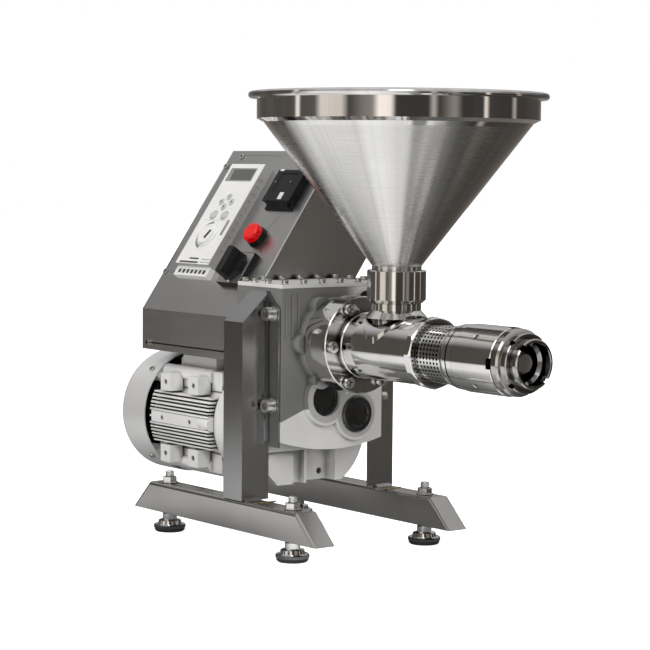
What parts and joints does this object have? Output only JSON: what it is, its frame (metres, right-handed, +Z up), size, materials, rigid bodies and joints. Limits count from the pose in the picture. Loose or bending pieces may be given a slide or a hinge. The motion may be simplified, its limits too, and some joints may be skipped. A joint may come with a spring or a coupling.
{
  "type": "oil press",
  "caption": "Bench oil press: geared motor on a low steel frame turns a screw in a slim steel barrel with a strainer cage; cone hopper above, sloped control panel at the side.",
  "frame": {"origin": "on the floor below the middle of the machine: midway across the frame, in the plane of the gearbox's front face", "axes": "+Z up; -Y along the barrel towards the outlet; -X towards the operator's panel side"},
  "size_m": [0.3479, 0.7043, 0.546],
  "materials": {
    "frame_steel": "brushed stainless sheet",
    "bright_steel": "bright plated",
    "polished_steel": "turned and polished stainless steel",
    "hopper_steel": "spun stainless sheet, turned marks",
    "dark_steel": "dark turned steel",
    "gear_steel": "machined",
    "bearing_steel": "ground",
    "cast_aluminium": "raw casting, fine grain",
    "motor_aluminium": "bright raw die casting",
    "motor_cowl": "satin pressed sheet",
    "copper_winding": "enamelled wire",
    "black_rubber": "matt",
    "black_plastic": "fine grain",
    "plate_plastic": "satin face, black edge",
    "drive_plastic": "off-white, fine grain",
    "key_plastic": "grey",
    "display_glass": "glossy window",
    "red_lens": "clear red"
  },
  "bodies": {
    "frame": {"left_rail": "frame_steel", "right_rail": "frame_steel", "left_post": "frame_steel", "right_post": "frame_steel", "foot_pads": "black_rubber", "foot_glides": "bright_steel", "foot_nuts": "bright_steel", "post_bolts": "bright_steel", "gearbox_housing": "cast_aluminium", "gearbox_cover": "cast_aluminium", "cover_screws": "bright_steel", "oil_plug": "black_plastic", "port_cap": "black_rubber", "port_plug": "dark_steel", "gear_bearings": "bearing_steel", "motor_shield": "motor_aluminium", "motor_frame": "motor_aluminium", "motor_stator": "copper_winding", "motor_bearings": "bearing_steel", "motor_rear_shield": "motor_aluminium", "fan_cowl": "motor_cowl", "cowl_screws": "bright_steel", "bearing_carrier": "polished_steel", "thrust_bearing": "bearing_steel", "flange_bolts": "bright_steel", "barrel_tube": "polished_steel", "ring_nut": "polished_steel", "strainer_cage": "polished_steel", "cage_collar": "polished_steel", "press_head": "polished_steel", "box_seat": "black_rubber", "control_box": "frame_steel", "control_panel": "frame_steel", "panel_screws": "bright_steel", "speed_drive": "drive_plastic", "drive_display": "display_glass", "switch_plate": "plate_plastic", "lamp_bezel": "black_plastic", "lamp_lens": "red_lens", "control_module": "black_plastic"},
    "rotor": {"motor_rotor": "gear_steel", "cooling_fan": "black_plastic"},
    "first_gear": {"first_gear_shaft": "gear_steel"},
    "second_gear": {"second_gear_shaft": "gear_steel"},
    "screw": {"output_shaft": "gear_steel", "press_screw": "gear_steel", "screw_nose": "gear_steel"},
    "feed_hopper": {"hopper": "hopper_steel", "hopper_collar": "polished_steel"},
    "locking_ring": {"lock_ring": "dark_steel"},
    "nozzle": {"outlet_nozzle": "polished_steel"},
    "knob": {"switch_knob": "black_plastic"},
    "dial": {"drive_dial": "drive_plastic"},
    "up": {"key_up": "key_plastic"},
    "down": {"key_down": "key_plastic"},
    "left": {"key_left": "key_plastic"},
    "right": {"key_right": "key_plastic"},
    "start": {"key_start": "key_plastic"},
    "stop": {"key_stop": "key_plastic"}
  },
  "joints": [
    {"name": "motor_turn", "type": "hinge", "parent": "frame", "child": "rotor", "pos_m": [0, 0, 0.137], "axis": [0, -1, 0], "continuous": true},
    {"name": "first_gear_turn", "type": "hinge", "parent": "frame", "child": "first_gear", "pos_m": [0.034, 0, 0.1595], "axis": [0, -1, 0], "continuous": true},
    {"name": "second_gear_turn", "type": "hinge", "parent": "frame", "child": "second_gear", "pos_m": [-0.012, 0, 0.18], "axis": [0, -1, 0], "continuous": true},
    {"name": "screw_turn", "type": "hinge", "parent": "frame", "child": "screw", "pos_m": [0, 0, 0.249], "axis": [0, -1, 0], "continuous": true},
    {"name": "hopper_lift", "type": "slide", "parent": "frame", "child": "feed_hopper", "axis": [0, 0, 1], "range_m": [0, 0.06]},
    {"name": "lock_ring_turn", "type": "hinge", "parent": "nozzle", "child": "locking_ring", "pos_m": [0, -0.33, 0.249], "axis": [0, -1, 0], "range_deg": [-180, 180]},
    {"name": "nozzle_turn", "type": "hinge", "parent": "frame", "child": "nozzle", "pos_m": [0, -0.34, 0.249], "axis": [0, -1, 0], "range_deg": [-360, 360]},
    {"name": "switch_turn", "type": "hinge", "parent": "frame", "child": "knob", "pos_m": [-0.03662, 0.151, 0.33297], "axis": [-0.8192, 0, 0.5736], "range_deg": [-45, 45]},
    {"name": "dial_turn", "type": "hinge", "parent": "frame", "child": "dial", "pos_m": [-0.01884, 0.2375, 0.37057], "axis": [-0.8192, 0, 0.5736], "range_deg": [-150, 150]},
    {"name": "up_press", "type": "slide", "parent": "frame", "child": "up", "axis": [0.8192, 0, -0.5736], "range_m": [0, 0.0008], "stiffness_N_per_m": 600, "springref_m": -0.001},
    {"name": "down_press", "type": "slide", "parent": "frame", "child": "down", "axis": [0.8192, 0, -0.5736], "range_m": [0, 0.0008], "stiffness_N_per_m": 600, "springref_m": -0.001},
    {"name": "left_press", "type": "slide", "parent": "frame", "child": "left", "axis": [0.8192, 0, -0.5736], "range_m": [0, 0.0008], "stiffness_N_per_m": 600, "springref_m": -0.001},
    {"name": "right_press", "type": "slide", "parent": "frame", "child": "right", "axis": [0.8192, 0, -0.5736], "range_m": [0, 0.0008], "stiffness_N_per_m": 600, "springref_m": -0.001},
    {"name": "start_press", "type": "slide", "parent": "frame", "child": "start", "axis": [0.8192, 0, -0.5736], "range_m": [0, 0.0008], "stiffness_N_per_m": 600, "springref_m": -0.001},
    {"name": "stop_press", "type": "slide", "parent": "frame", "child": "stop", "axis": [0.8192, 0, -0.5736], "range_m": [0, 0.0008], "stiffness_N_per_m": 600, "springref_m": -0.001}
  ],
  "couplings": [
    {"joint": "first_gear_turn", "follows": "motor_turn", "ratio": -0.35417},
    {"joint": "second_gear_turn", "follows": "motor_turn", "ratio": 0.11111},
    {"joint": "screw_turn", "follows": "motor_turn", "ratio": -0.035639}
  ]
}
